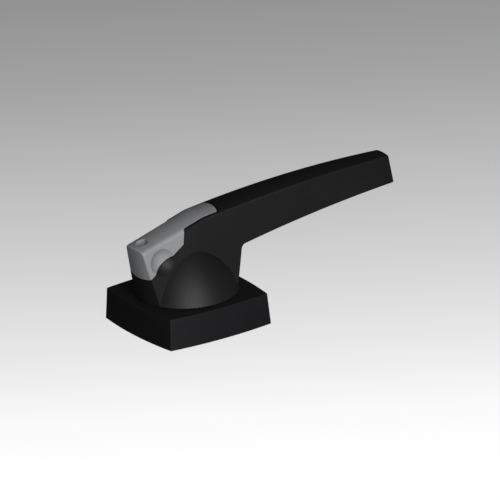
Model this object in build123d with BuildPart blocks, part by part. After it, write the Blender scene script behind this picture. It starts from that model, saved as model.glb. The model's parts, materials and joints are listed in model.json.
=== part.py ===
"""Tilt turn handle: a lever on a square rosette, with a rocking catch let into its nose.

The origin is the centre of the handle's back face and +Z is the spindle axis, away from the
window sash. The lever lies along +X, as it does when the window is closed, and it turns about
+Z to the turn (90 degrees) and tilt (180 degrees) places. Pressing the catch's tongue rocks the
catch and pushes a pin into a keeper hole in the base plate. All dimensions are in millimetres.
"""

import os
from math import atan2, cos, sin

from build123d import *

# ---- driving dimensions -----------------------------------------------------------------

# Rosette: a low square box with sides that bow outwards and lean in a little.
ROSETTE_FOOT = 60.0  # side, corner to corner, at the back face
ROSETTE_TOP = 58.2  # side, corner to corner, at the top face
ROSETTE_HEIGHT = 16.2
FOOT_BOW = 2.2  # how far the middle of a side stands out, at the back face
TOP_BOW = 2.1
ROSETTE_ROUND = 0.5
COVER_WALL = 2.4
COVER_OPENING_R = 20.0
COVER_POST_R = 3.6

# Lever: a dome and a flared neck round the spindle, and an arm along +X.
HUB_FOOT_Z = 16.6
HUB_FOOT_R = 26.1
HUB_FLARE = 0.17  # how much the nose and the neck widen for each millimetre of height
DOME_WAIST = (20.6, 28.0)  # radius and height of a point half way up the dome
DOME_TOP = (9.0, 40.1)
HOLLOW_INNER_R = 19.2  # the casting is cored out under the dome
HOLLOW_OUTER_R = 23.8
HOLLOW_TOP_Z = 26.0
CROWN_R = 24.0  # the whole top is rounded across, from nose to tip
NOSE_TOP = (-34.0, 46.1)  # on the straight part of the crest, at the nose
KNUCKLE = (6.5, 57.3)  # where the crest turns into the arm's long arc
ARM_CREST = (84.7, 61.8)  # the highest point
ARM_TOP_R = 680.0
ARM_TIP_TOP_X = 119.4
ARM_TIP_FOOT = (121.8, 45.6)
ARM_BELLY = (75.0, 42.8)
ARM_ROOT = (24.0, 35.9)  # inside the neck, so that the belly meets the neck in one edge
RIDGE_ROUND = 0.8
ROOT_ROUND = 2.5

# The lever's side faces: half widths at nose, crease and tip, at the foot and at the ridge.
RIDGE_Z = 63.0  # just over the highest point
NOSE_X = -36.0
CREASE_X = 1.5
TIP_X = 125.0
FOOT_HALF_WIDTHS = (11.7, 10.9, 7.7)
RIDGE_HALF_WIDTHS = (5.0, 8.3, 4.8)
SIDE_BOW = 1.35

# Catch: a wedge over the nose with a tongue let into the top of the lever.
SEAM_TOP = (-5.0, 54.0)
SEAM_BEND = (-6.4, 45.2)
SEAM_SLOPE = 0.675
SEAM_REACH = 40.0
SEAM_GAP = 0.3
SEAM_TOP_GAP = 0.65
TONGUE_END_X = 16.5
TONGUE_END_BOW = 0.9
TONGUE_CORNER_R = 1.2
TONGUE_HALF_WIDTH = 7.0
TONGUE_GAP = 0.35
TONGUE_END_GAP = 1.2  # the tip moves forward as the catch rocks
TONGUE_UNDERSIDE_Z = 51.2
TONGUE_WELL_Z = 48.6
CATCH_ROUND = 2.6
NOSE_ROUND = 1.0
CATCH_TRAVEL = 6.0  # degrees
PIVOT_X = -2.0
PIVOT_Z = 49.2
PIVOT_PIN_R = 1.25
PIVOT_PIN_ENDS = (-6.6, 8.4)  # y; the pin is driven in from the far side
CHEEK_TOP_Z = 50.8
CHEEK_END_X = 0.6
HEEL_R = 3.75
HEEL_FLAT = 3.6  # from the pivot to the flats that the catch spring bears on
HEEL_HALF_WIDTH = 4.0
HEEL_END_X = 1.2
HEEL_SLOT_HALF_WIDTH = 4.3
HEEL_SLOT_ENDS = (-10.0, 12.5)
HEEL_SLOT_Z = 45.0
DISH_X = -19.6
DISH_Z = 39.6
DISH_SPHERE_R = 9.4
DISH_SPHERE_Y = 15.4
STOP_X = -25.6
STOP_MOUTH_R = 3.3
STOP_MOUTH_DEPTH = 2.6
STOP_SCREW_R = 2.5
STOP_DOG_R = 1.2
STOP_DOG_LENGTH = 1.4
STOP_TIP_SETBACK = 0.2

# Clearances.
RUNNING_GAP = 0.05
FIT_GAP = 0.02
FREE_GAP = 0.3  # round what neither runs nor fits

# Spindle driver and what holds it.
SOCKET_SIDE = 7.1  # takes a 7 mm square spindle
SOCKET_TOP_Z = 22.0
JOURNAL_R = 9.5
JOURNAL_FOOT_Z = 8.9
DRIVER_FOOT_R = 8.0
DRIVER_FLATS = 14.0
DRIVER_FOOT_Z = 1.8
DRIVER_SQUARE = 13.2
DRIVER_TOP_Z = 34.0
DRIVER_CHAMFER = 0.5
SCREW_THREAD_R = 2.45
SCREW_THREAD_DEPTH = 10.5
SCREW_SEAT_Z = 38.0
SCREW_HEAD_R = 4.2
SCREW_HEAD_HEIGHT = 4.8
SCREW_LENGTH = 14.0
WASHER_THICKNESS = 0.9
THRUST_WASHER_R = 12.0
CIRCLIP_Z = 2.6
CIRCLIP_THICKNESS = 0.8
CIRCLIP_SEAT_R = 7.2
CIRCLIP_R = 9.4
CIRCLIP_GAP = 5.0
CAM_SIDE = 19.2
CAM_CORNER_R = 11.2
CAM_Z = 3.6
CAM_HEIGHT = 5.0

# Base plate and back plate behind the rosette.
BACK_THICKNESS = 1.5
BACK_OPENING_R = 9.0
PLATE_SIDE = 54.0
PLATE_ROUND = 3.0
PLATE_FLOOR_Z = 1.55
PLATE_THICKNESS = 3.4
BOSS_R = 19.6
BOSS_TOP_Z = 16.0
BUSH_R = 11.5
FIXING_PITCH = 43.0
FIXING_THREAD_R = 2.1  # tapped M5
FIXING_CLEARANCE_R = 2.75
FIXING_BOSS_R = 5.0
FIXING_BOSS_TOP_Z = 12.5
FIXING_DEPTH = 9.5
CORNER_PITCH = 40.0
CORNER_SCREW_R = 1.5
CORNER_HEAD_R = 2.9
CORNER_SCREW_LENGTH = 12.0
CORNER_HOLE_R = 1.75
WELL_LENGTH = 30.0
WELL_WIDTH = 21.0
WELL_MIDDLE = (24.0, 25.0)  # wider in the middle, so that the leaf springs can flex
WELL_TOP_Z = 8.8
LEAF_LENGTH = 28.6
LEAF_THICKNESS = 0.8
LEAF_WIDTH = 4.0

# Catch spring, a flat strip under the catch's heel.
STRIP_ENDS = (-4.0, 10.8)
STRIP_WIDTH = 6.0
STRIP_THICKNESS = 0.5
STRIP_SCREW_X = 8.2
STRIP_SCREW_R = 1.25
STRIP_SCREW_HEAD_R = 2.2
STRIP_SCREW_HEAD_HEIGHT = 1.5
STRIP_SCREW_LENGTH = 5.5

# Lock pin, driven down by the tongue.
LOCK_X = 14.3
LOCK_PIN_R = 2.0
LOCK_PIN_FOOT_Z = 16.2
LOCK_PIN_TOP_Z = 50.9
LOCK_COLLAR_Z = 44.0
LOCK_COLLAR_THICKNESS = 1.5
LOCK_COLLAR_R = 2.9
LOCK_BUSH_R = 2.9
LOCK_BUSH_TOP_Z = 24.6
LOCK_WELL_R = 3.2
LOCK_SPRING_R = 2.5
LOCK_SPRING_WIRE_R = 0.3
LOCK_SPRING_TURNS = 8
KEEPER_R = 2.15
KEEPER_DEPTH = 5.0
KEEPER_ANGLES = (0, 90, 180)

os.makedirs("parts", exist_ok=True)


def finish(part, name):
    """Label a finished piece and write its file."""
    part.label = name
    export_step(part, "parts/" + name + ".step")


def bowed_square(side, bow):
    """A square with its corners at the given side and its sides bowed outwards."""
    half = side / 2
    with BuildSketch(mode=Mode.PRIVATE) as outline:
        with BuildLine():
            ThreePointArc((-half, -half), (0, -half - bow), (half, -half))
            ThreePointArc((half, -half), (half + bow, 0), (half, half))
            ThreePointArc((half, half), (0, half + bow), (-half, half))
            ThreePointArc((-half, half), (-half - bow, 0), (-half, -half))
        make_face()
    return outline.sketch


def lever_plan(half_widths):
    """The lever from above: straight from nose to crease, then a slow arc to the tip."""
    nose, crease, tip = half_widths
    middle_x = (CREASE_X + TIP_X) / 2
    middle_y = (crease + tip) / 2 + SIDE_BOW
    with BuildSketch(mode=Mode.PRIVATE) as outline:
        with BuildLine():
            Polyline((CREASE_X, -crease), (NOSE_X, -nose), (NOSE_X, nose), (CREASE_X, crease))
            ThreePointArc((CREASE_X, crease), (middle_x, middle_y), (TIP_X, tip))
            Line((TIP_X, tip), (TIP_X, -tip))
            ThreePointArc((TIP_X, -tip), (middle_x, -middle_y), (CREASE_X, -crease))
        make_face()
    return outline.sketch


def tongue_plan(half_width, end_x):
    """The tongue from above, with its slightly bowed end."""
    corner_x = end_x - TONGUE_END_BOW
    start_x = SEAM_TOP[0] - 1.5
    with BuildSketch(mode=Mode.PRIVATE) as outline:
        with BuildLine():
            Polyline((corner_x, half_width), (start_x, half_width), (start_x, -half_width),
                     (corner_x, -half_width))
            ThreePointArc((corner_x, -half_width), (end_x, 0), (corner_x, half_width))
        make_face()
        fillet(outline.vertices().group_by(Axis.X)[-1], TONGUE_CORNER_R)
    return outline.sketch


def ahead_of_seam(top_gap, bend_gap):
    """The side view of all that lies ahead of the seam and above it, grown by the gaps."""
    top_x = SEAM_TOP[0] + top_gap
    bend = (SEAM_BEND[0] + bend_gap, SEAM_BEND[1] - bend_gap)
    nose = (bend[0] - SEAM_REACH, bend[1] - SEAM_REACH * SEAM_SLOPE)
    with BuildSketch(Plane.XZ, mode=Mode.PRIVATE) as outline:
        with BuildLine():
            Polyline((top_x, RIDGE_Z), (top_x, SEAM_TOP[1]), bend, nose, (nose[0], RIDGE_Z),
                     close=True)
        make_face()
    return outline.sketch


def crowned_section():
    """The lever's section from the crest down: round on top, and straight below."""
    with BuildSketch(mode=Mode.PRIVATE) as section:
        with Locations((0, -CROWN_R)):
            Circle(CROWN_R)
            Rectangle(2 * CROWN_R, 2 * CROWN_R, align=(Align.CENTER, Align.MAX))
    return section.sketch


# ---- lever: the outer shape that the lever body and the catch share ---------------------

top_lean = atan2(KNUCKLE[1] - NOSE_TOP[1], KNUCKLE[0] - NOSE_TOP[0])

with BuildPart() as lever_sides:
    with BuildSketch(Plane.XY.offset(HUB_FOOT_Z)):
        add(lever_plan(FOOT_HALF_WIDTHS))
    with BuildSketch(Plane.XY.offset(RIDGE_Z)):
        add(lever_plan(RIDGE_HALF_WIDTHS))
    loft(ruled=True)

# Two crowned bars meet at the knuckle: a straight one over the nose and a bent one over the arm.
with BuildPart() as nose_crown:
    along_nose = (cos(top_lean), 0, sin(top_lean))
    with BuildSketch(Plane((NOSE_TOP[0], 0, NOSE_TOP[1]), x_dir=(0, 1, 0), z_dir=along_nose)):
        add(crowned_section())
    extrude(amount=2 * TIP_X, both=True)

with BuildPart() as arm_crown:
    with BuildSketch(Plane((ARM_CREST[0], 0, ARM_CREST[1]), x_dir=(0, 1, 0), z_dir=(1, 0, 0))):
        add(crowned_section())
    revolve(axis=Axis((ARM_CREST[0], 0, ARM_CREST[1] - ARM_TOP_R), (0, 1, 0)))

with BuildPart() as lever_envelope:
    # The nose and the neck are parts of one cone that flares upwards about the spindle.
    flare_r = HUB_FOOT_R + HUB_FLARE * (RIDGE_Z - HUB_FOOT_Z)
    with BuildSketch(Plane.XZ):
        with BuildLine():
            Polyline((0, HUB_FOOT_Z), (HUB_FOOT_R, HUB_FOOT_Z), (flare_r, RIDGE_Z), (0, RIDGE_Z),
                     close=True)
        make_face()
    revolve(axis=Axis.Z)
    # The arm.
    with BuildSketch(Plane.XZ):
        with BuildLine():
            ThreePointArc(ARM_ROOT, ARM_BELLY, ARM_TIP_FOOT)
            Polyline(ARM_TIP_FOOT, (ARM_TIP_TOP_X, RIDGE_Z), (KNUCKLE[0], RIDGE_Z), ARM_ROOT)
        make_face()
    extrude(amount=ROSETTE_FOOT, both=True)
    add(lever_sides.part, mode=Mode.INTERSECT)
    add(nose_crown.part, mode=Mode.INTERSECT)
    add(arm_crown.part, mode=Mode.INTERSECT)

# ---- lever body -------------------------------------------------------------------------

with BuildPart() as lever_body:
    add(lever_envelope.part)
    neck_edge = lever_body.edges().filter_by_position(Axis.X, HUB_FOOT_R, HUB_FOOT_R + 6)
    neck_edge = neck_edge.filter_by_position(Axis.Z, ARM_ROOT[1], ARM_ROOT[1] + 2).sort_by(Axis.Y)
    fillet(neck_edge[len(neck_edge) // 2], ROOT_ROUND)
    # The catch's wedge goes, and the arm's long edges are broken.
    with BuildSketch(Plane.XZ):
        add(ahead_of_seam(SEAM_TOP_GAP, SEAM_GAP))
    extrude(amount=ROSETTE_FOOT, both=True, mode=Mode.SUBTRACT)
    arm_edges = lever_body.edges().filter_by_position(Axis.X, TIP_X / 2 - 5, TIP_X)
    fillet(arm_edges, RIDGE_ROUND)
    # The well for the tongue.
    with BuildSketch(Plane.XY.offset(TONGUE_WELL_Z)):
        add(tongue_plan(TONGUE_HALF_WIDTH + TONGUE_GAP, TONGUE_END_X + TONGUE_END_GAP))
    extrude(amount=RIDGE_Z - TONGUE_WELL_Z, mode=Mode.SUBTRACT)
    # Two cheeks carry the pivot pin, with a slot between them for the heel of the catch.
    cheek_start_x = SEAM_TOP[0] + SEAM_TOP_GAP
    with BuildSketch(Plane.XY.offset(TONGUE_WELL_Z)):
        with Locations(((cheek_start_x + CHEEK_END_X) / 2, 0)):
            Rectangle(CHEEK_END_X - cheek_start_x, 2 * (TONGUE_HALF_WIDTH + TONGUE_GAP + FREE_GAP))
    extrude(amount=CHEEK_TOP_Z - TONGUE_WELL_Z)
    with BuildSketch(Plane.XY.offset(HEEL_SLOT_Z)):
        with Locations((sum(HEEL_SLOT_ENDS) / 2, 0)):
            Rectangle(HEEL_SLOT_ENDS[1] - HEEL_SLOT_ENDS[0], 2 * HEEL_SLOT_HALF_WIDTH)
    extrude(amount=RIDGE_Z - HEEL_SLOT_Z, mode=Mode.SUBTRACT)
    with Locations(Plane((PIVOT_X, PIVOT_PIN_ENDS[0] - FREE_GAP, PIVOT_Z), z_dir=(0, 1, 0))):
        Cylinder(PIVOT_PIN_R + FIT_GAP, ROSETTE_FOOT, align=(Align.CENTER, Align.CENTER, Align.MIN),
                 mode=Mode.SUBTRACT)
    # The dome round the spindle, cored out near its rim.
    with BuildSketch(Plane.XZ):
        with BuildLine():
            Line((0, HUB_FOOT_Z), (HUB_FOOT_R, HUB_FOOT_Z))
            ThreePointArc((HUB_FOOT_R, HUB_FOOT_Z), DOME_WAIST, DOME_TOP)
            Polyline(DOME_TOP, (0, DOME_TOP[1]), (0, HUB_FOOT_Z))
        make_face()
    revolve(axis=Axis.Z)
    with BuildSketch(Plane.XZ):
        with BuildLine():
            hollow_middle_r = (HOLLOW_INNER_R + HOLLOW_OUTER_R) / 2
            Polyline((HOLLOW_INNER_R, HUB_FOOT_Z), (HOLLOW_OUTER_R, HUB_FOOT_Z),
                     (hollow_middle_r, HOLLOW_TOP_Z), (HOLLOW_INNER_R, HOLLOW_TOP_Z), close=True)
        make_face()
    revolve(axis=Axis.Z, mode=Mode.SUBTRACT)
    # A square pocket for the driver, and its screw let in from the heel slot.
    with BuildSketch(Plane.XY.offset(HUB_FOOT_Z)):
        Rectangle(DRIVER_SQUARE + 2 * FIT_GAP, DRIVER_SQUARE + 2 * FIT_GAP)
    extrude(amount=DRIVER_TOP_Z + FREE_GAP - HUB_FOOT_Z, mode=Mode.SUBTRACT)
    with Locations((0, 0, HEEL_SLOT_Z)):
        CounterBoreHole(SCREW_THREAD_R + FREE_GAP, SCREW_HEAD_R + FREE_GAP,
                        HEEL_SLOT_Z - SCREW_SEAT_Z, depth=HEEL_SLOT_Z - DRIVER_TOP_Z)
    # The lock pin's bore: a guide bush below, and the well of its return spring above.
    with Locations((LOCK_X, 0, TONGUE_WELL_Z)):
        CounterBoreHole(LOCK_BUSH_R + FIT_GAP, LOCK_WELL_R, TONGUE_WELL_Z - LOCK_BUSH_TOP_Z,
                        depth=TONGUE_WELL_Z - HUB_FOOT_Z)
    with Locations((STRIP_SCREW_X, 0, HEEL_SLOT_Z)):
        Hole(STRIP_SCREW_R + FIT_GAP, depth=STRIP_SCREW_LENGTH + FREE_GAP)
    # Round finger dishes, half on the catch and half on the lever body.
    with Locations((DISH_X, -DISH_SPHERE_Y, DISH_Z), (DISH_X, DISH_SPHERE_Y, DISH_Z)):
        Sphere(DISH_SPHERE_R, mode=Mode.SUBTRACT)

finish(lever_body.part, "lever_body")

# ---- catch and its stop screw -----------------------------------------------------------

# The stop screw stands square to the crest and reaches down through the catch to the seam.
stop_z = NOSE_TOP[1] + (STOP_X - NOSE_TOP[0]) * sin(top_lean) / cos(top_lean)
stop_mouth = Plane((STOP_X, 0, stop_z), x_dir=along_nose, z_dir=(-sin(top_lean), 0, cos(top_lean)))
seam_rise = stop_z - SEAM_BEND[1] - SEAM_SLOPE * (STOP_X - SEAM_BEND[0])
seam_depth = seam_rise / (cos(top_lean) + SEAM_SLOPE * sin(top_lean))

with BuildPart() as catch:
    with BuildSketch(Plane.XZ):
        add(ahead_of_seam(0, 0))
    extrude(amount=ROSETTE_FOOT, both=True)
    with BuildSketch(Plane.XY.offset(TONGUE_UNDERSIDE_Z)):
        add(tongue_plan(TONGUE_HALF_WIDTH, TONGUE_END_X))
    extrude(amount=RIDGE_Z - TONGUE_UNDERSIDE_Z)
    add(lever_envelope.part, mode=Mode.INTERSECT)
    nose_edges = catch.edges().filter_by_position(Axis.X, NOSE_X, SEAM_BEND[0] - 4)
    long_edges = nose_edges.filter_by_position(Axis.Z, stop_z, RIDGE_Z)
    fillet(long_edges, CATCH_ROUND)
    front_edges = catch.edges().filter_by_position(Axis.X, NOSE_X, STOP_X - 2)
    fillet(front_edges.filter_by_position(Axis.Z, SEAM_BEND[1] - 10, stop_z), NOSE_ROUND)
    # The heel under the pivot, with one flat for each of its two places.
    with Locations(Plane((PIVOT_X, 0, PIVOT_Z), z_dir=(0, 1, 0))):
        Cylinder(HEEL_R, 2 * HEEL_HALF_WIDTH)
    with Locations((HEEL_END_X, 0, PIVOT_Z)):
        Box(HEEL_END_X - SEAM_BEND[0], 2 * HEEL_HALF_WIDTH, TONGUE_UNDERSIDE_Z + FREE_GAP - PIVOT_Z,
            align=(Align.MAX, Align.CENTER, Align.MIN))
    for flat_angle in (0, -CATCH_TRAVEL):
        with Locations(Location((PIVOT_X, 0, PIVOT_Z), (0, flat_angle, 0))):
            with Locations((0, 0, -HEEL_FLAT)):
                Box(2 * HEEL_R, 3 * HEEL_HALF_WIDTH, HEEL_R,
                    align=(Align.CENTER, Align.CENTER, Align.MAX), mode=Mode.SUBTRACT)
    with Locations(Plane((PIVOT_X, 0, PIVOT_Z), z_dir=(0, 1, 0))):
        Cylinder(PIVOT_PIN_R + RUNNING_GAP, 4 * HEEL_HALF_WIDTH, mode=Mode.SUBTRACT)
    with Locations(stop_mouth):
        CounterBoreHole(STOP_SCREW_R + FIT_GAP, STOP_MOUTH_R, STOP_MOUTH_DEPTH)
    with Locations((DISH_X, -DISH_SPHERE_Y, DISH_Z), (DISH_X, DISH_SPHERE_Y, DISH_Z)):
        Sphere(DISH_SPHERE_R, mode=Mode.SUBTRACT)

finish(catch.part, "catch")

with BuildPart() as stop_screw:
    stop_head_depth = STOP_MOUTH_DEPTH + STOP_TIP_SETBACK
    with BuildSketch(stop_mouth.offset(-stop_head_depth)):
        Circle(STOP_SCREW_R)
    extrude(amount=stop_head_depth + STOP_DOG_LENGTH + STOP_TIP_SETBACK - seam_depth)
    with BuildSketch(stop_mouth.offset(STOP_TIP_SETBACK - seam_depth)):
        Circle(STOP_DOG_R)
    extrude(amount=STOP_DOG_LENGTH + STOP_TIP_SETBACK)
    with BuildSketch(stop_mouth.offset(-stop_head_depth)):
        RegularPolygon(STOP_SCREW_R / 2, 6)
    extrude(amount=-STOP_SCREW_R, mode=Mode.SUBTRACT)

finish(stop_screw.part, "stop_screw")

with BuildPart() as catch_pivot_pin:
    with BuildSketch(Plane.XZ.offset(-PIVOT_PIN_ENDS[0])):
        with Locations((PIVOT_X, PIVOT_Z)):
            Circle(PIVOT_PIN_R)
    extrude(amount=PIVOT_PIN_ENDS[0] - PIVOT_PIN_ENDS[1])
    chamfer(catch_pivot_pin.edges().filter_by(GeomType.CIRCLE), PIVOT_PIN_R / 5)

finish(catch_pivot_pin.part, "catch_pivot_pin")

# ---- catch spring and its screw ---------------------------------------------------------

with BuildPart() as catch_spring:
    with BuildSketch(Plane.XY.offset(HEEL_SLOT_Z + RUNNING_GAP)):
        with Locations((sum(STRIP_ENDS) / 2, 0)):
            Rectangle(STRIP_ENDS[1] - STRIP_ENDS[0], STRIP_WIDTH)
        with Locations((STRIP_SCREW_X, 0)):
            Circle(STRIP_SCREW_R + RUNNING_GAP, mode=Mode.SUBTRACT)
    extrude(amount=STRIP_THICKNESS)

finish(catch_spring.part, "catch_spring")

with BuildPart() as catch_spring_screw:
    with BuildSketch(Plane.XY.offset(HEEL_SLOT_Z + 2 * RUNNING_GAP + STRIP_THICKNESS)):
        with Locations((STRIP_SCREW_X, 0)):
            Circle(STRIP_SCREW_HEAD_R)
    extrude(amount=STRIP_SCREW_HEAD_HEIGHT)
    fillet(catch_spring_screw.edges().group_by(Axis.Z)[-1], STRIP_SCREW_HEAD_HEIGHT / 3)
    with Locations((STRIP_SCREW_X, 0, HEEL_SLOT_Z + 1)):
        Cylinder(STRIP_SCREW_R, STRIP_SCREW_LENGTH + 1,
                 align=(Align.CENTER, Align.CENTER, Align.MAX))
    with BuildSketch(catch_spring_screw.faces().sort_by(Axis.Z)[-1]):
        Rectangle(2 * STRIP_SCREW_HEAD_R, STRIP_THICKNESS)
    extrude(amount=-STRIP_SCREW_HEAD_HEIGHT / 2, mode=Mode.SUBTRACT)

finish(catch_spring_screw.part, "catch_spring_screw")

# ---- lock pin, its guide bush and its return spring -------------------------------------

with BuildPart() as lock_pin:
    with Locations((LOCK_X, 0, LOCK_PIN_FOOT_Z)):
        Cylinder(LOCK_PIN_R, LOCK_PIN_TOP_Z - LOCK_PIN_FOOT_Z,
                 align=(Align.CENTER, Align.CENTER, Align.MIN))
    chamfer(lock_pin.edges().group_by(Axis.Z)[0], LOCK_PIN_R / 5)
    fillet(lock_pin.edges().group_by(Axis.Z)[-1], LOCK_PIN_R / 3)
    with Locations((LOCK_X, 0, LOCK_COLLAR_Z)):
        Cylinder(LOCK_COLLAR_R, LOCK_COLLAR_THICKNESS,
                 align=(Align.CENTER, Align.CENTER, Align.MIN))

finish(lock_pin.part, "lock_pin")

with BuildPart() as lock_pin_bush:
    with BuildSketch(Plane.XY.offset(HUB_FOOT_Z)):
        with Locations((LOCK_X, 0)):
            Circle(LOCK_BUSH_R)
            Circle(LOCK_PIN_R + RUNNING_GAP, mode=Mode.SUBTRACT)
    extrude(amount=LOCK_BUSH_TOP_Z - HUB_FOOT_Z)

finish(lock_pin_bush.part, "lock_pin_bush")

with BuildPart() as lock_pin_spring:
    spring_foot_z = LOCK_BUSH_TOP_Z + LOCK_SPRING_WIRE_R + RUNNING_GAP
    spring_height = LOCK_COLLAR_Z - LOCK_SPRING_WIRE_R - RUNNING_GAP - spring_foot_z
    with BuildLine():
        coil = Helix(spring_height / LOCK_SPRING_TURNS, spring_height, LOCK_SPRING_R,
                     (LOCK_X, 0, spring_foot_z))
    with BuildSketch(Plane(coil @ 0, z_dir=coil % 0)):
        Circle(LOCK_SPRING_WIRE_R)
    sweep(is_frenet=True)

finish(lock_pin_spring.part, "lock_pin_spring")

# ---- spindle driver, its screw, the index cam and their rings ---------------------------

with BuildPart() as spindle_driver:
    with BuildSketch(Plane.XY.offset(DRIVER_FOOT_Z)):
        Circle(DRIVER_FOOT_R)
        Rectangle(3 * DRIVER_FOOT_R, DRIVER_FLATS, mode=Mode.INTERSECT)
    extrude(amount=JOURNAL_FOOT_Z - DRIVER_FOOT_Z)
    with BuildSketch(Plane.XY.offset(JOURNAL_FOOT_Z)):
        Circle(JOURNAL_R)
    extrude(amount=HUB_FOOT_Z - JOURNAL_FOOT_Z)
    with BuildSketch(Plane.XY.offset(HUB_FOOT_Z)):
        Rectangle(DRIVER_SQUARE, DRIVER_SQUARE)
    extrude(amount=DRIVER_TOP_Z - HUB_FOOT_Z)
    chamfer(spindle_driver.edges().group_by(Axis.Z)[-1], DRIVER_CHAMFER)
    with BuildSketch(Plane.XY.offset(CIRCLIP_Z)):
        Circle(JOURNAL_R)
        Circle(CIRCLIP_SEAT_R, mode=Mode.SUBTRACT)
    extrude(amount=CIRCLIP_THICKNESS + RUNNING_GAP, mode=Mode.SUBTRACT)
    with BuildSketch(Plane.XY.offset(DRIVER_FOOT_Z)):
        Rectangle(SOCKET_SIDE, SOCKET_SIDE)
    extrude(amount=SOCKET_TOP_Z - DRIVER_FOOT_Z, mode=Mode.SUBTRACT)
    with Locations((0, 0, DRIVER_TOP_Z)):
        Hole(SCREW_THREAD_R + FIT_GAP, depth=SCREW_THREAD_DEPTH)

finish(spindle_driver.part, "spindle_driver")

with BuildPart() as driver_screw:
    with Locations((0, 0, SCREW_SEAT_Z + WASHER_THICKNESS + RUNNING_GAP)):
        Cylinder(SCREW_HEAD_R, SCREW_HEAD_HEIGHT, align=(Align.CENTER, Align.CENTER, Align.MIN))
    chamfer(driver_screw.edges().group_by(Axis.Z)[-1], SCREW_HEAD_HEIGHT / 12)
    with BuildSketch(driver_screw.faces().sort_by(Axis.Z)[-1]):
        RegularPolygon(SCREW_HEAD_R / 2, 6)
    extrude(amount=-SCREW_HEAD_HEIGHT / 2, mode=Mode.SUBTRACT)
    with Locations((0, 0, SCREW_SEAT_Z + WASHER_THICKNESS + RUNNING_GAP)):
        Cylinder(SCREW_THREAD_R, SCREW_LENGTH, align=(Align.CENTER, Align.CENTER, Align.MAX))

finish(driver_screw.part, "driver_screw")

with BuildPart() as driver_screw_washer:
    with BuildSketch(Plane.XY.offset(SCREW_SEAT_Z + FIT_GAP)):
        Circle(SCREW_HEAD_R)
        Circle(SCREW_THREAD_R + RUNNING_GAP, mode=Mode.SUBTRACT)
        with Locations((SCREW_HEAD_R, 0)):
            Rectangle(SCREW_HEAD_R, WASHER_THICKNESS, mode=Mode.SUBTRACT)
    extrude(amount=WASHER_THICKNESS)

finish(driver_screw_washer.part, "driver_screw_washer")

with BuildPart() as thrust_washer:
    with BuildSketch(Plane.XY.offset(BOSS_TOP_Z + RUNNING_GAP)):
        Circle(THRUST_WASHER_R)
        Circle(JOURNAL_R + RUNNING_GAP, mode=Mode.SUBTRACT)
    extrude(amount=HUB_FOOT_Z - BOSS_TOP_Z - 2 * RUNNING_GAP)

finish(thrust_washer.part, "thrust_washer")

with BuildPart() as index_cam:
    with BuildSketch(Plane.XY.offset(CAM_Z)):
        Rectangle(CAM_SIDE, CAM_SIDE)
        Circle(CAM_CORNER_R, mode=Mode.INTERSECT)
        with BuildSketch(mode=Mode.PRIVATE) as cam_bore:
            Circle(DRIVER_FOOT_R + FIT_GAP)
            Rectangle(3 * DRIVER_FOOT_R, DRIVER_FLATS + 2 * FIT_GAP, mode=Mode.INTERSECT)
        add(cam_bore.sketch, mode=Mode.SUBTRACT)
    extrude(amount=CAM_HEIGHT)

finish(index_cam.part, "index_cam")

with BuildPart() as retaining_ring:
    with BuildSketch(Plane.XY.offset(CIRCLIP_Z + FIT_GAP)):
        Circle(CIRCLIP_R)
        Circle(CIRCLIP_SEAT_R + FIT_GAP, mode=Mode.SUBTRACT)
        with Locations((-CIRCLIP_R, 0)):
            Rectangle(CIRCLIP_R, CIRCLIP_GAP, mode=Mode.SUBTRACT)
    extrude(amount=CIRCLIP_THICKNESS)

finish(retaining_ring.part, "retaining_ring")

# ---- rosette cover ----------------------------------------------------------------------

with BuildPart() as rosette_cover:
    with BuildSketch():
        add(bowed_square(ROSETTE_FOOT, FOOT_BOW))
    with BuildSketch(Plane.XY.offset(ROSETTE_HEIGHT)):
        add(bowed_square(ROSETTE_TOP, TOP_BOW))
    loft(ruled=True)
    fillet(rosette_cover.edges().group_by(Axis.Z)[-1], ROSETTE_ROUND)
    corner_edges = rosette_cover.edges().filter_by_position(Axis.Z, ROSETTE_HEIGHT / 3,
                                                            ROSETTE_HEIGHT * 2 / 3)
    fillet(corner_edges, ROSETTE_ROUND)
    with BuildSketch():
        add(bowed_square(ROSETTE_FOOT - 2 * COVER_WALL, FOOT_BOW))
    with BuildSketch(Plane.XY.offset(ROSETTE_HEIGHT - COVER_WALL)):
        add(bowed_square(ROSETTE_TOP - 2 * COVER_WALL, TOP_BOW))
    loft(ruled=True, mode=Mode.SUBTRACT)
    with Locations((0, 0, ROSETTE_HEIGHT)):
        Hole(COVER_OPENING_R, depth=COVER_WALL * 2)
    # Four posts inside the corners take the corner screws.
    post_foot_z = PLATE_FLOOR_Z + PLATE_THICKNESS + RUNNING_GAP
    with BuildSketch(Plane.XY.offset(post_foot_z)):
        with GridLocations(CORNER_PITCH, CORNER_PITCH, 2, 2):
            Circle(COVER_POST_R)
    extrude(amount=ROSETTE_HEIGHT - COVER_WALL - post_foot_z)
    with BuildSketch(Plane.XY.offset(post_foot_z)):
        with GridLocations(CORNER_PITCH, CORNER_PITCH, 2, 2):
            Circle(CORNER_SCREW_R + FIT_GAP)
    extrude(amount=CORNER_SCREW_LENGTH + FREE_GAP - post_foot_z, mode=Mode.SUBTRACT)

finish(rosette_cover.part, "rosette_cover")

# ---- base plate, its bush and the detent springs ----------------------------------------

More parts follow.
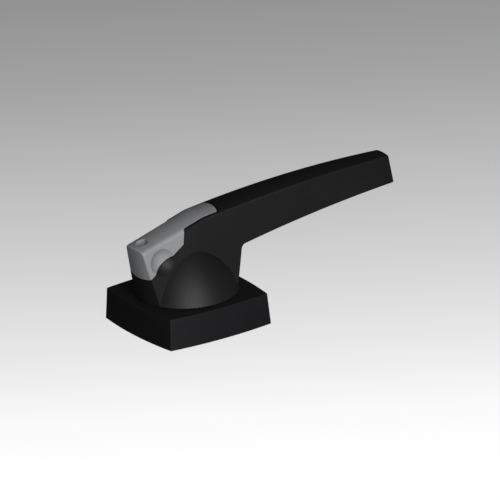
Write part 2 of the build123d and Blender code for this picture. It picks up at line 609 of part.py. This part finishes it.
with BuildPart() as base_plate:
    with BuildSketch(Plane.XY.offset(PLATE_FLOOR_Z)):
        RectangleRounded(PLATE_SIDE, PLATE_SIDE, PLATE_ROUND)
    extrude(amount=PLATE_THICKNESS)
    with BuildSketch(Plane.XY.offset(PLATE_FLOOR_Z)):
        Circle(BOSS_R)
    extrude(amount=BOSS_TOP_Z - PLATE_FLOOR_Z)
    with BuildSketch(Plane.XY.offset(PLATE_FLOOR_Z)):
        with GridLocations(FIXING_PITCH, 0, 2, 1):
            Circle(FIXING_BOSS_R)
    extrude(amount=FIXING_BOSS_TOP_Z - PLATE_FLOOR_Z)
    with BuildSketch(Plane.XY.offset(PLATE_FLOOR_Z)):
        Rectangle(WELL_LENGTH, WELL_WIDTH)
        Rectangle(*WELL_MIDDLE)
    extrude(amount=WELL_TOP_Z - PLATE_FLOOR_Z, mode=Mode.SUBTRACT)
    with Locations((0, 0, BOSS_TOP_Z)):
        Hole(BUSH_R)
    with BuildSketch(Plane.XY.offset(PLATE_FLOOR_Z)):
        with GridLocations(FIXING_PITCH, 0, 2, 1):
            Circle(FIXING_THREAD_R)
    extrude(amount=FIXING_DEPTH, mode=Mode.SUBTRACT)
    with BuildSketch(Plane.XY.offset(PLATE_FLOOR_Z)):
        with GridLocations(CORNER_PITCH, CORNER_PITCH, 2, 2):
            Circle(CORNER_HOLE_R)
    extrude(amount=PLATE_THICKNESS, mode=Mode.SUBTRACT)
    # One keeper hole for each of the lever's three places.
    with Locations((0, 0, BOSS_TOP_Z)):
        for keeper_angle in KEEPER_ANGLES:
            with PolarLocations(LOCK_X, 1, keeper_angle):
                Hole(KEEPER_R, depth=KEEPER_DEPTH)

finish(base_plate.part, "base_plate")

with BuildPart() as bearing_bush:
    with BuildSketch(Plane.XY.offset(WELL_TOP_Z + RUNNING_GAP)):
        Circle(BUSH_R - FIT_GAP)
        Circle(JOURNAL_R + RUNNING_GAP, mode=Mode.SUBTRACT)
    extrude(amount=BOSS_TOP_Z - WELL_TOP_Z - RUNNING_GAP)

finish(bearing_bush.part, "bearing_bush")

with BuildPart() as detent_springs:
    with BuildSketch(Plane.XY.offset(CAM_Z + (CAM_HEIGHT - LEAF_WIDTH) / 2)):
        with GridLocations(0, CAM_SIDE + LEAF_THICKNESS + 2 * RUNNING_GAP, 1, 2):
            Rectangle(LEAF_LENGTH, LEAF_THICKNESS)
    extrude(amount=LEAF_WIDTH)

finish(detent_springs.part, "detent_springs")

# ---- back plate and the corner screws ---------------------------------------------------

with BuildPart() as back_plate:
    with BuildSketch():
        RectangleRounded(PLATE_SIDE, PLATE_SIDE, PLATE_ROUND)
        Circle(BACK_OPENING_R, mode=Mode.SUBTRACT)
        with GridLocations(FIXING_PITCH, 0, 2, 1):
            Circle(FIXING_CLEARANCE_R, mode=Mode.SUBTRACT)
    extrude(amount=BACK_THICKNESS)
    with GridLocations(CORNER_PITCH, CORNER_PITCH, 2, 2):
        with Locations(Location((0, 0, 0), (180, 0, 0))):
            CounterSinkHole(CORNER_HOLE_R, CORNER_HEAD_R + RUNNING_GAP, depth=BACK_THICKNESS)

finish(back_plate.part, "back_plate")

with BuildPart() as corner_screw:
    with BuildSketch(Plane.XZ):
        with BuildLine():
            head_depth = CORNER_HEAD_R - CORNER_SCREW_R
            Polyline((0, FIT_GAP), (CORNER_HEAD_R - RUNNING_GAP, FIT_GAP), (CORNER_SCREW_R, head_depth),
                     (CORNER_SCREW_R, CORNER_SCREW_LENGTH), (0, CORNER_SCREW_LENGTH), close=True)
        make_face()
    revolve(axis=Axis.Z)
    with BuildSketch(Plane.XY):
        RegularPolygon(CORNER_SCREW_R * 2 / 3, 6)
    extrude(amount=CORNER_SCREW_R * 2 / 3, mode=Mode.SUBTRACT)

with BuildPart() as corner_screws:
    with GridLocations(CORNER_PITCH, CORNER_PITCH, 2, 2):
        add(corner_screw.part)

finish(corner_screws.part, "corner_screws")
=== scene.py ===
# %% [markdown]
# # A tilt turn window handle
#
# The handle is a die-cast lever on a square moulded rosette, with a grey rocking catch let into
# its nose. Its sizes and its motion come from a CAD frame, in metres, with the spindle on the
# Z axis, the lever along +X and the back face on the floor at Z = 0. This notebook gives that
# frame its finishes, remakes the screws with real threads and the pin's spring as a coil of wire,
# and sets up the studio.

# %% Load the frame
import json
import math

import bmesh
import bpy
from mathutils import Matrix, Vector


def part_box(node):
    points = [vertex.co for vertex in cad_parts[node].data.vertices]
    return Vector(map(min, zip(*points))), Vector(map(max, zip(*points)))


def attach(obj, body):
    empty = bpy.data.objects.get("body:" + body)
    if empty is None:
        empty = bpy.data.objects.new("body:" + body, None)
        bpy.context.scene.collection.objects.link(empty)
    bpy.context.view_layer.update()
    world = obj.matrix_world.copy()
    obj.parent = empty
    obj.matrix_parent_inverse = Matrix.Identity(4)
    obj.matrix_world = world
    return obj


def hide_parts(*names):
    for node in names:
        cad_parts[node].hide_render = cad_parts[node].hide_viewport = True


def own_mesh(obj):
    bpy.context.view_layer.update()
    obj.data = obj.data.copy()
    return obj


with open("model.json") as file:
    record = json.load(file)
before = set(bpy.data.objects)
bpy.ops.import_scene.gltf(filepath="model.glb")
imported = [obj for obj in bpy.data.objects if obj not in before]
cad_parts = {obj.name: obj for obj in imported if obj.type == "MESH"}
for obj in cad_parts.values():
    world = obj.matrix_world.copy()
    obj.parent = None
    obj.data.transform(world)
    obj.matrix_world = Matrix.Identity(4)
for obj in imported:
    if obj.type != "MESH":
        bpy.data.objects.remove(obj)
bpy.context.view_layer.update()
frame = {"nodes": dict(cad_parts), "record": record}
slot_of = {part["node"]: part["material_slot"] for part in frame["record"]["subparts"]}
MM = 0.001
print("nodes", len(frame["nodes"]))

# %% [markdown]
# ## Colour and nodes
#
# A colour listed here is an sRGB value, but Blender's shaders add light, so they need the
# linear value. One function turns a hex colour into it.


# %% From a hex colour to linear light
def linear(hex_colour):
    """Turns an sRGB hex colour into linear red, green, blue and alpha."""
    channels = [int(hex_colour[i:i + 2], 16) / 255 for i in (1, 3, 5)]
    return [c / 12.92 if c <= 0.04045 else ((c + 0.055) / 1.055) ** 2.4 for c in channels] + [1.0]


print("mid grey is", [round(c, 3) for c in linear("#808080")])

# %% [markdown]
# A finish is a small web of nodes. Each could be made, set and linked in three or four lines, but
# one function that adds a node with its settings and its links keeps each recipe short. Inputs
# are named, with _ for a space, and where several share a name they are numbered, as in_0.


# %% Adding a node
def add_node(material, kind, settings=None, **inputs):
    """Adds a node. A setting is an attribute, and an input is a value or another node's output."""
    node = material.node_tree.nodes.new(kind)
    for name, value in (settings or {}).items():
        setattr(node, name, value)
    for name, value in inputs.items():
        numbered = name.startswith("in_")
        socket = node.inputs[int(name[3:]) if numbered else name.replace("_", " ")]
        if isinstance(value, bpy.types.NodeSocket):
            material.node_tree.links.new(value, socket)
        else:
            socket.default_value = value
    return node


def worked(material):
    """The shader of a new material, which the finish's nodes feed."""
    material.use_nodes = True
    return material.node_tree.nodes["Principled BSDF"]


print("node helper ready")

# %% [markdown]
# ## How a finish is built
#
# Every part of the handle is moulded, cast, coated, plated or ground. What the eye reads in each
# is the same three things at different sizes: a faint drift of colour over centimetres, a grain
# that breaks up the gloss, and a relief that bends the highlight. A function makes a material
# from those, with each pattern's size given in millimetres, because a pattern's scale in
# object coordinates is one over its size in metres.


# %% One recipe for a worked surface
GRAIN_IN_COLOUR = 0.35   # how much of the grain shows in the colour, beside the slow drift
MOTTLE_RANGE = 0.45, 0.95   # the middle of the sum of drift and grain, which noise seldom leaves
GRAIN_RANGE = 0.25, 0.75   # the same for the grain alone
RELIEF_STRENGTH = 0.6


def finish(name, colour, tint, roughness, spread, grain_mm, relief_mm, drift_mm=22.0, metal=0.0,
           stretch=(1, 1, 1), specular=0.5):
    """A finish that drifts from colour to tint and whose gloss and height follow a grain."""
    material = bpy.data.materials.new(name)
    shader = worked(material)
    place = add_node(material, "ShaderNodeTexCoord")
    lay = add_node(material, "ShaderNodeMapping", Vector=place.outputs["Object"], Scale=stretch)
    drift = add_node(material, "ShaderNodeTexNoise", Vector=lay.outputs["Vector"],
                     Scale=1 / (drift_mm * MM), Detail=3.0, Roughness=0.6)
    grain = add_node(material, "ShaderNodeTexNoise", Vector=lay.outputs["Vector"],
                     Scale=1 / (grain_mm * MM), Detail=4.0, Roughness=0.55)
    mottle = add_node(material, "ShaderNodeMath", {"operation": "MULTIPLY_ADD"},
                      in_0=grain.outputs["Fac"], in_1=GRAIN_IN_COLOUR, in_2=drift.outputs["Fac"])
    level = add_node(material, "ShaderNodeMapRange", Value=mottle.outputs["Value"],
                     From_Min=MOTTLE_RANGE[0], From_Max=MOTTLE_RANGE[1])
    blend = add_node(material, "ShaderNodeMix", {"data_type": "RGBA"}, in_0=level.outputs["Result"],
                     in_6=linear(colour), in_7=linear(tint))
    gloss = add_node(material, "ShaderNodeMapRange", Value=grain.outputs["Fac"],
                     From_Min=GRAIN_RANGE[0], From_Max=GRAIN_RANGE[1],
                     To_Min=roughness - spread, To_Max=roughness + spread)
    relief = add_node(material, "ShaderNodeBump", Height=grain.outputs["Fac"],
                      Strength=RELIEF_STRENGTH, Distance=relief_mm * MM)
    links = material.node_tree.links
    links.new(blend.outputs["Result"], shader.inputs["Base Color"])
    links.new(gloss.outputs["Result"], shader.inputs["Roughness"])
    links.new(relief.outputs["Normal"], shader.inputs["Normal"])
    shader.inputs["Metallic"].default_value = metal
    if metal == 0.0:
        shader.inputs["Specular IOR Level"].default_value = specular
    return material


print("a 1.1 mm grain has a noise scale of", round(1 / (1.1 * MM)))

# %% [markdown]
# ## The finishes of the handle
#
# The rosette is glass-filled nylon from a spark-eroded mould, so it has a fine even grain. The
# lever is die-cast zinc under black polyester powder, which flows out to a shallow orange peel
# about a millimetre across. The catch is grey acetal, moulded smooth. Inside are the bare zinc
# castings, turned and ground steel, spring wire with its blue temper colour, natural acetal and
# one brass bush. Grains finer than about 0.3 mm are drawn at 0.3 mm or more so that they show.
# Each line gives the two colours, the roughness and how far it varies, then the width and the
# height of the grain in millimetres.

# %% The finishes
MATERIALS = {
    # a mould's spark-eroded skin: matt black with a fine grain
    "rosette_black": finish("moulded_black_nylon", "#18181a", "#1c1c1e", 0.50, 0.06, 0.45, 0.02,
                            specular=0.18),
    # powder that has melted and flowed: satin with a shallow orange peel
    "lever_black": finish("black_powder_coat", "#151516", "#1a1a1b", 0.55, 0.04, 1.10, 0.02,
                          specular=0.30),
    # acetal from a smooth mould: an even satin grey
    "catch_grey": finish("moulded_grey_acetal", "#8a8b8d", "#949597", 0.40, 0.04, 0.60, 0.012,
                         specular=0.45),
    # the skin of a pressure die casting, mottled where the metal chilled
    "cast_zinc": finish("bare_cast_zinc", "#a9abae", "#c2c4c6", 0.42, 0.10, 0.90, 0.03,
                        drift_mm=6.0, metal=1.0),
    # rolled steel sheet with a thin bright zinc plating
    "plated_steel": finish("zinc_plated_steel", "#b6bac0", "#cfd2d4", 0.30, 0.08, 0.50, 0.01,
                           drift_mm=9.0, metal=1.0, stretch=(0.25, 1, 1)),
    # a plated screw: brighter and smoother than the plate
    "screw_steel": finish("bright_plated_screw", "#c6c8cb", "#dadbdc", 0.24, 0.06, 0.50, 0.008,
                          drift_mm=5.0, metal=1.0),
    # drawn spring wire and strip, with a trace of the blue of its temper
    "spring_steel": finish("tempered_spring_steel", "#8e9299", "#6f7682", 0.34, 0.08, 0.40, 0.006,
                           drift_mm=4.0, metal=1.0),
    # centreless ground pins: fine rings round the axis
    "pin_steel": finish("ground_pin_steel", "#bfc1c4", "#d2d3d5", 0.22, 0.05, 0.40, 0.005,
                        drift_mm=3.0, metal=1.0, stretch=(1, 1, 3)),
    # natural acetal: waxy off-white that lets a little light in
    "bearing_plastic": finish("natural_acetal", "#dedbcf", "#e8e6dc", 0.38, 0.05, 0.60, 0.01),
    # turned brass, with the tool's fine rings
    "bush_brass": finish("turned_brass", "#c9a252", "#dbb768", 0.26, 0.06, 0.35, 0.008,
                         drift_mm=3.0, metal=1.0, stretch=(1, 1, 4)),
}
worked(MATERIALS["bearing_plastic"]).inputs["Subsurface Weight"].default_value = 0.1
print("finishes", len(MATERIALS))

# %% [markdown]
# The CAD solids already have the right shapes, so most are shown as they are. Each has one
# material slot, and the record says which finish goes in it.

# %% Finishes on the CAD parts
for node_name, node in frame["nodes"].items():
    for material_slot in node.material_slots:
        material_slot.material = MATERIALS[slot_of[node_name]]
print("parts per finish", {slot: list(slot_of.values()).count(slot) for slot in MATERIALS})

# %% [markdown]
# ## Screws with real threads
#
# Three kinds of screw hold the handle together: four countersunk ones in the rosette's corners,
# the machine screw that clamps the lever to its driver, and the grub screw in the catch's nose
# that sets how far the catch rocks. A plain cylinder would do from afar, but a thread and a key
# socket are what make a screw look like one. Each is made the way a lathe makes it: a ring of
# vertices is extruded from the socket's floor, up over the head and down to the tip, and then a
# small triangle is spun down the shank to leave its thread.

# %% Turning a screw's body
SIDES = 48   # a multiple of six, so that a hexagon's corners fall on vertices
HEX_TURN = math.pi / 3


def ring_point(angle, radius, height, hexagon):
    """A point of a round ring, or of a hexagon with that radius at its corners."""
    if hexagon:
        radius *= math.cos(HEX_TURN / 2) / math.cos(angle % HEX_TURN - HEX_TURN / 2)
    return Vector((radius * math.cos(angle), radius * math.sin(angle), height))


def turn_rings(bm, rings):
    """Makes a closed screw body from rings: a radius, a height and whether it is a hexagon."""
    made = bmesh.ops.create_circle(bm, cap_ends=True, segments=SIDES, radius=1.0)
    verts = made["verts"]
    edges = list({edge for vert in verts for edge in vert.link_edges})
    for index, (radius, height, hexagon) in enumerate(rings):
        if index:
            extruded = bmesh.ops.extrude_edge_only(bm, edges=edges)["geom"]
            verts = [item for item in extruded if isinstance(item, bmesh.types.BMVert)]
            edges = [item for item in extruded
                     if isinstance(item, bmesh.types.BMEdge) and item.is_boundary]
        for vert in verts:
            angle = math.atan2(vert.co.y, vert.co.x)
            vert.co = ring_point(angle, radius * MM, height * MM, hexagon)
    bmesh.ops.holes_fill(bm, edges=edges, sides=0)


print("a hexagon of 1 mm is", round(ring_point(HEX_TURN / 2, 1, 0, True).length, 3), "to a flat")

# %% [markdown]
# A thread is a helix. Blender's spin turns a profile about an axis, and with dvec it also climbs
# at every step, so a triangle of three edges becomes the thread's ridge in one call. The ridge
# starts a little inside the core, and both its ends are filled, so the two solids overlap.


# %% Cutting a thread
THREAD_STEPS = 24   # steps in one turn
RIDGE_SHARE = 0.94   # the ridge is narrower than the pitch, so one turn doesn't touch the next
ROOT_SHARE = 0.96   # how deep in the core the ridge starts


def fill_ends(bm):
    """Closes every open end of a spun tube."""
    bmesh.ops.holes_fill(bm, edges=[edge for edge in bm.edges if edge.is_boundary], sides=0)


def cut_thread(bm, core, crest, pitch, top, bottom):
    """Spins a triangle down the shank as one long ridge, closed at both ends."""
    ridge = RIDGE_SHARE * pitch
    root = ROOT_SHARE * core
    start = [bm.verts.new((radius * MM, 0, height * MM)) for radius, height in
             ((root, top), (crest, top - ridge / 2), (root, top - ridge))]
    profile = [bm.edges.new((start[i], start[(i + 1) % 3])) for i in range(3)]
    steps = round((top - bottom - pitch) / pitch * THREAD_STEPS)
    bmesh.ops.spin(bm, geom=start + profile, axis=(0, 0, 1), cent=(0, 0, 0),
                   dvec=(0, 0, -pitch * MM / THREAD_STEPS), angle=steps * math.tau / THREAD_STEPS,
                   steps=steps, use_merge=False)
    fill_ends(bm)


print("thread step in degrees", 360 / THREAD_STEPS)

# %% [markdown]
# A new piece is made round the origin, where it is easy to think about, and then moved into place
# in its mesh, so its object stays at the origin as a CAD part's does. Its normals are pointed
# outwards, its rounds are shaded smooth up to its sharp edges, it is hung on the empty of the body
# it rides on, and the CAD part it stands for is hidden and gives it its finish.


# %% Placing a new piece
SHARP_ANGLE = math.radians(32)


def place_piece(bm, name, body, node, places):
    """Copies the mesh to each place, shades it and lets it stand for the CAD node."""
    bmesh.ops.recalc_face_normals(bm, faces=bm.faces)
    first = list(bm.verts) + list(bm.edges) + list(bm.faces)
    copies = [bmesh.ops.duplicate(bm, geom=first)["geom"] for _ in places[1:]]
    for place, copy in zip(places, [first] + copies):
        bmesh.ops.transform(bm, matrix=place,
                            verts=[item for item in copy if isinstance(item, bmesh.types.BMVert)])
    for face in bm.faces:
        face.smooth = True
    for edge in bm.edges:
        edge.smooth = edge.calc_face_angle(0) < SHARP_ANGLE
    mesh = bpy.data.meshes.new(name)
    bm.to_mesh(mesh)
    bm.free()
    piece = bpy.data.objects.new(name, mesh)
    bpy.context.scene.collection.objects.link(piece)
    mesh.materials.append(MATERIALS[slot_of[node]])
    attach(piece, body)
    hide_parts(node)
    print(name, "faces", len(mesh.polygons), "size in mm",
          [round(value / MM, 2) for value in piece.dimensions])
    return piece


print("edges sharper than", round(math.degrees(SHARP_ANGLE)), "degrees stay sharp")

# %% [markdown]
# ### The four corner screws
#
# They are self-tapping, so the thread is coarse and its core thin. They point up into the
# rosette from behind, so the screw, which is made pointing down, is turned over.

# %% Corner screws
CORNER_HEAD_R, CORNER_SHANK_R, CORNER_CORE_R, CORNER_PITCH = 2.84, 1.45, 1.15, 1.1
CORNER_KEY_R, CORNER_KEY_DEPTH = 0.98, 1.0
CORNER_HEAD_DEPTH, CORNER_RIM, CORNER_TIP_R, CORNER_CLEARANCE = 1.4, 0.06, 0.12, 0.01
corner_low, corner_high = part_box("corner_screws")
corner_length = (corner_high[2] - corner_low[2]) / MM
corner_bm = bmesh.new()
turn_rings(corner_bm, (
    (CORNER_KEY_R, -CORNER_KEY_DEPTH, True), (CORNER_KEY_R, -0.08, True),
    (CORNER_KEY_R + 0.1, 0.0, False), (CORNER_HEAD_R - CORNER_RIM, 0.0, False),
    (CORNER_HEAD_R, -CORNER_RIM, False), (CORNER_HEAD_R, -2 * CORNER_RIM, False),
    (CORNER_SHANK_R, -CORNER_HEAD_DEPTH, False), (CORNER_CORE_R, -CORNER_HEAD_DEPTH - 0.5, False),
    (CORNER_CORE_R, -(corner_length - 1.6), False), (CORNER_TIP_R, -corner_length, False)))
cut_thread(corner_bm, CORNER_CORE_R, CORNER_SHANK_R, CORNER_PITCH, -1.9, -(corner_length - 1.8))
corner_offset = corner_high[0] - (CORNER_HEAD_R + CORNER_CLEARANCE) * MM
place_piece(corner_bm, "rosette_corner_screws", "rosette", "corner_screws", [
    Matrix.Translation((x * corner_offset, y * corner_offset, corner_low[2]))
    @ Matrix.Rotation(math.pi, 4, "X") for x in (-1, 1) for y in (-1, 1)])

# %% [markdown]
# ### The driver screw
#
# A socket-head machine screw pulls the lever down on the square driver. Its thread is M5 with a
# pitch of 0.8 mm, and its head has a small chamfer round the rim and round the key socket.

# %% Driver screw
DRIVER_HEAD_R, DRIVER_HEAD_H, DRIVER_CHAMFER = 4.18, 4.8, 0.4
DRIVER_CREST_R, DRIVER_CORE_R, DRIVER_PITCH = 2.43, 2.05, 0.8
DRIVER_KEY_R, DRIVER_KEY_DEPTH = 2.1, 2.4
driver_low, driver_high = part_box("driver_screw")
driver_length = (driver_high[2] - driver_low[2]) / MM
driver_bm = bmesh.new()
turn_rings(driver_bm, (
    (DRIVER_KEY_R, -DRIVER_KEY_DEPTH, True), (DRIVER_KEY_R, -0.25, True),
    (DRIVER_KEY_R + 0.25, 0.0, False), (DRIVER_HEAD_R - DRIVER_CHAMFER, 0.0, False),
    (DRIVER_HEAD_R, -DRIVER_CHAMFER, False), (DRIVER_HEAD_R, -DRIVER_HEAD_H + 0.1, False),
    (DRIVER_HEAD_R - 0.1, -DRIVER_HEAD_H, False), (DRIVER_CREST_R, -DRIVER_HEAD_H, False),
    (DRIVER_CREST_R, -DRIVER_HEAD_H - 1.0, False), (DRIVER_CORE_R, -DRIVER_HEAD_H - 1.4, False),
    (DRIVER_CORE_R, -driver_length + 0.5, False), (DRIVER_CORE_R - 0.5, -driver_length, False)))
cut_thread(driver_bm, DRIVER_CORE_R, DRIVER_CREST_R, DRIVER_PITCH, -DRIVER_HEAD_H - 0.9,
           -driver_length + 0.6)
place_piece(driver_bm, "driver_machine_screw", "lever", "driver_screw",
            [Matrix.Translation((0, 0, driver_high[2]))])

# %% [markdown]
# ### The grub screw in the nose
#
# This one can be seen: it sits down the hole in the catch's nose. It is an M5 grub screw with a
# dog point, and it leans with the nose, so it is turned about Y before it goes to its place. The
# box of the CAD screw gives the place of its upper end.

# %% Stop screw
NOSE_LEAN = math.radians(15.46)
STOP_CREST_R, STOP_CORE_R, STOP_PITCH, STOP_BODY, STOP_DOG_R = 2.48, 2.08, 0.8, 9.7, 1.18
STOP_KEY_R, STOP_KEY_DEPTH = 1.25, 2.5
STOP_CAD_R = 2.5   # the CAD screw's radius, which its box is measured with
stop_low, stop_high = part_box("stop_screw")
stop_x = stop_low[0] + STOP_CAD_R * MM * math.cos(NOSE_LEAN)
stop_z = stop_high[2] - STOP_CAD_R * MM * math.sin(NOSE_LEAN)
stop_drop = (stop_z - stop_low[2]) / MM - STOP_DOG_R * math.sin(NOSE_LEAN)
stop_length = stop_drop / math.cos(NOSE_LEAN)
stop_bm = bmesh.new()
turn_rings(stop_bm, (
    (STOP_KEY_R, -STOP_KEY_DEPTH, True), (STOP_KEY_R, -0.2, True),
    (STOP_KEY_R + 0.17, 0.0, False), (STOP_CORE_R - 0.2, 0.0, False),
    (STOP_CORE_R, -0.2, False), (STOP_CORE_R, -STOP_BODY + 0.5, False),
    (STOP_CORE_R - 0.4, -STOP_BODY, False), (STOP_DOG_R, -STOP_BODY, False),
    (STOP_DOG_R, -stop_length + 0.2, False), (STOP_DOG_R - 0.2, -stop_length, False)))
cut_thread(stop_bm, STOP_CORE_R, STOP_CREST_R, STOP_PITCH, -0.1, -STOP_BODY + 0.3)
place_piece(stop_bm, "nose_grub_screw", "catch", "stop_screw", [
    Matrix.Translation((stop_x, 0, stop_z)) @ Matrix.Rotation(-NOSE_LEAN, 4, "Y")])

# %% [markdown]
# ## The pin's return spring
#
# A coil of round wire holds the lock pin up against the catch.

# %% Pin spring
WIRE_R, COIL_TURNS, COIL_STEPS, WIRE_SIDES = 0.3, 8, 32, 10
coil_low, coil_high = (Vector(corner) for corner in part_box("lock_pin_spring"))
coil_radius = (coil_high.x - coil_low.x) / 2 - WIRE_R * MM
coil_centre = (coil_low + coil_high) / 2
coil_rise = coil_high.z - coil_low.z - 2 * WIRE_R * MM
coil_bm = bmesh.new()
upright = Matrix.Rotation(math.pi / 2, 4, "X")
wire_start = Matrix.Translation((coil_radius, 0, WIRE_R * MM)) @ upright
wire = bmesh.ops.create_circle(coil_bm, segments=WIRE_SIDES, radius=WIRE_R * MM,
                               matrix=wire_start)["verts"]
wire_edges = list({edge for vert in wire for edge in vert.link_edges})
coil_step_count = COIL_TURNS * COIL_STEPS
bmesh.ops.spin(coil_bm, geom=wire + wire_edges, axis=(0, 0, 1), cent=(0, 0, 0),
               dvec=(0, 0, coil_rise / coil_step_count), angle=COIL_TURNS * math.tau,
               steps=coil_step_count, use_merge=False)
fill_ends(coil_bm)
coil_foot = Vector((coil_centre.x, coil_centre.y, coil_low.z))
coil = place_piece(coil_bm, "pin_return_spring", "lever", "lock_pin_spring",
                   [Matrix.Translation(coil_foot)])
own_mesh(coil)

# %% [markdown]
# ## The studio
#
# A pale floor runs far past the handle. On a real table a soft key light fades with distance, so
# the floor is brightest near the camera and greyer at the back. The floor's shader has that fade
# as a faint glow over its own grey, which also keeps hard shadows out of the scene.

# %% Floor
# The floor's fade runs along the level direction away from the camera.
CAMERA_AZIMUTH = math.radians(-122.2)
CAMERA_ELEVATION = math.radians(21.39)
AWAY = Vector((-math.cos(CAMERA_AZIMUTH), -math.sin(CAMERA_AZIMUTH), 0))
FLOOR_HALF = 1.5
# how bright the floor's painted glow is at each distance along AWAY, in millimetres
FLOOR_FADE = (
    (-260, 1.0), (-137, 0.93), (-41, 0.78), (95, 0.60), (245, 0.43), (327, 0.345), (440, 0.27))

floor_bm = bmesh.new()
bmesh.ops.create_grid(floor_bm, x_segments=1, y_segments=1, size=FLOOR_HALF)
floor_mesh = bpy.data.meshes.new("studio_floor")
floor_bm.to_mesh(floor_mesh)
floor_bm.free()
floor = bpy.data.objects.new("studio_floor", floor_mesh)
bpy.context.scene.collection.objects.link(floor)
print("floor size in m", 2 * FLOOR_HALF)

# %% [markdown]
# The floor stands for matt studio paper. A dot product with the direction away from the camera
# turns each point into a distance, and a colour ramp turns that into the strength of its painted
# glow.

# %% The floor's paper and its painted glow
paper = bpy.data.materials.new("pale_paper_painted_glow")
paper_shader = worked(paper)
spot = add_node(paper, "ShaderNodeTexCoord")
along = add_node(paper, "ShaderNodeVectorMath", {"operation": "DOT_PRODUCT"},
                 in_0=spot.outputs["Object"], in_1=AWAY)
reach = add_node(paper, "ShaderNodeMapRange", Value=along.outputs["Value"],
                 From_Min=FLOOR_FADE[0][0] * MM, From_Max=FLOOR_FADE[-1][0] * MM)
fade = add_node(paper, "ShaderNodeValToRGB", Fac=reach.outputs["Result"])
ramp = fade.color_ramp
ramp.elements.remove(ramp.elements[-1])
ramp.elements[0].color = (FLOOR_FADE[0][1],) * 3 + (1,)
span = FLOOR_FADE[-1][0] - FLOOR_FADE[0][0]
for distance, level in FLOOR_FADE[1:]:
    ramp.elements.new((distance - FLOOR_FADE[0][0]) / span).color = (level, level, level, 1)
# The ramp drives the emission: the floor glows with painted light, the key light's fade painted on
# the paper.
paper.node_tree.links.new(fade.outputs["Color"], paper_shader.inputs["Emission Color"])
paper_shader.inputs["Emission Strength"].default_value = 1.0
paper_shader.inputs["Base Color"].default_value = linear("#454545")
paper_shader.inputs["Roughness"].default_value = 0.9
paper_shader.inputs["Specular IOR Level"].default_value = 0.0
floor_mesh.materials.append(paper)
# The glow is for the eye alone: it must not light the handle from below.
floor.visible_diffuse = False
floor.visible_glossy = False
print("floor stops", [round(stop.position, 3) for stop in ramp.elements])

# %% [markdown]
# ## Lights
#
# One large soft key light stands low, a little to the right of the camera, so it rakes the steep
# faces and leaves the flat tops dark, which shows the crowned shape of the lever. A small light
# nearer the camera gives the dome its sheen, and two weak ones behind keep the back readable
# without glancing off the top.


# %% Lights
def soft_light(name, azimuth, elevation, distance, size, power, target=(0.02, 0, 0.03)):
    """An area light at an azimuth and elevation in degrees that faces the target."""
    a, e = math.radians(azimuth), math.radians(elevation)
    way = Vector((math.cos(e) * math.cos(a), math.cos(e) * math.sin(a), math.sin(e)))
    data = bpy.data.lights.new(name, "AREA")
    data.shape = "DISK"
    data.size = size
    data.energy = power
    light = bpy.data.objects.new(name, data)
    light.location = Vector(target) + distance * way
    light.rotation_euler = way.to_track_quat("Z", "Y").to_euler()
    bpy.context.scene.collection.objects.link(light)
    return light


lights = [
    soft_light("key_light", -106, 17, 1.2, 0.8, 14),
    soft_light("sheen_light", -132, 24, 1.2, 0.6, 2.4),
    soft_light("back_light_left", 97, 5, 1.2, 0.2, 5),
    soft_light("back_light_right", 5, 5, 1.2, 0.2, 9),
]
# The two behind must not glint on the edges that face the camera.
for light in lights[2:]:
    light.visible_glossy = False
print("lights", [light.name for light in lights])

# %% [markdown]
# ## World
#
# A world of one even grey would light the handle from all sides and turn its blacks grey. So what
# the eye sees past the floor's edge is pale, like the floor, while the handle gets only a trace
# of light from there. The plain view transform keeps the greys as they are set.

# %% World
WORLD_SEEN, WORLD_FILL = 0.8, 0.02
world = bpy.data.worlds.new("soft_studio")
world.use_nodes = True
rays = world.node_tree.nodes.new("ShaderNodeLightPath")
strength = world.node_tree.nodes.new("ShaderNodeMapRange")
strength.inputs["To Min"].default_value = WORLD_FILL
strength.inputs["To Max"].default_value = WORLD_SEEN
background = world.node_tree.nodes["Background"]
background.inputs["Color"].default_value = (1, 1, 1, 1)
world.node_tree.links.new(rays.outputs["Is Camera Ray"], strength.inputs["Value"])
world.node_tree.links.new(strength.outputs["Result"], background.inputs["Strength"])
bpy.context.scene.world = world
bpy.context.scene.view_settings.view_transform = "Standard"
print("world seen", WORLD_SEEN, "world fill", WORLD_FILL)

# %% [markdown]
# ## Camera
#
# Parallel edges stay parallel in this view, so the camera is orthographic: its distance doesn't
# matter, and its scale is the width of the view. Its three axes are worked out from its azimuth,
# elevation and a small roll, and become the columns of its matrix.

# %% Camera
CAMERA_ROLL = math.radians(2.71)
CAMERA_DISTANCE = 1.5
VIEW_WIDTH = 250.6 * MM
# the centre of the view, from the origin, to the right and up in the view's own plane
VIEW_RIGHT, VIEW_UP = 30.86 * MM, 35.3 * MM
toward = Vector((math.cos(CAMERA_ELEVATION) * math.cos(CAMERA_AZIMUTH),
                 math.cos(CAMERA_ELEVATION) * math.sin(CAMERA_AZIMUTH),
                 math.sin(CAMERA_ELEVATION)))
level_right = Vector((0, 0, 1)).cross(toward).normalized()
level_up = toward.cross(level_right)
right = math.cos(CAMERA_ROLL) * level_right - math.sin(CAMERA_ROLL) * level_up
up = toward.cross(right)
camera_data = bpy.data.cameras.new("studio_camera")
camera_data.type = "ORTHO"
camera_data.ortho_scale = VIEW_WIDTH
camera = bpy.data.objects.new("studio_camera", camera_data)
middle = VIEW_RIGHT * right + VIEW_UP * up
camera.matrix_world = Matrix.Translation(middle + CAMERA_DISTANCE * toward) @ Matrix(
    (right, up, toward)).transposed().to_4x4()
bpy.context.scene.collection.objects.link(camera)
bpy.context.scene.camera = camera
print("camera at", [round(v, 3) for v in camera.matrix_world.translation])
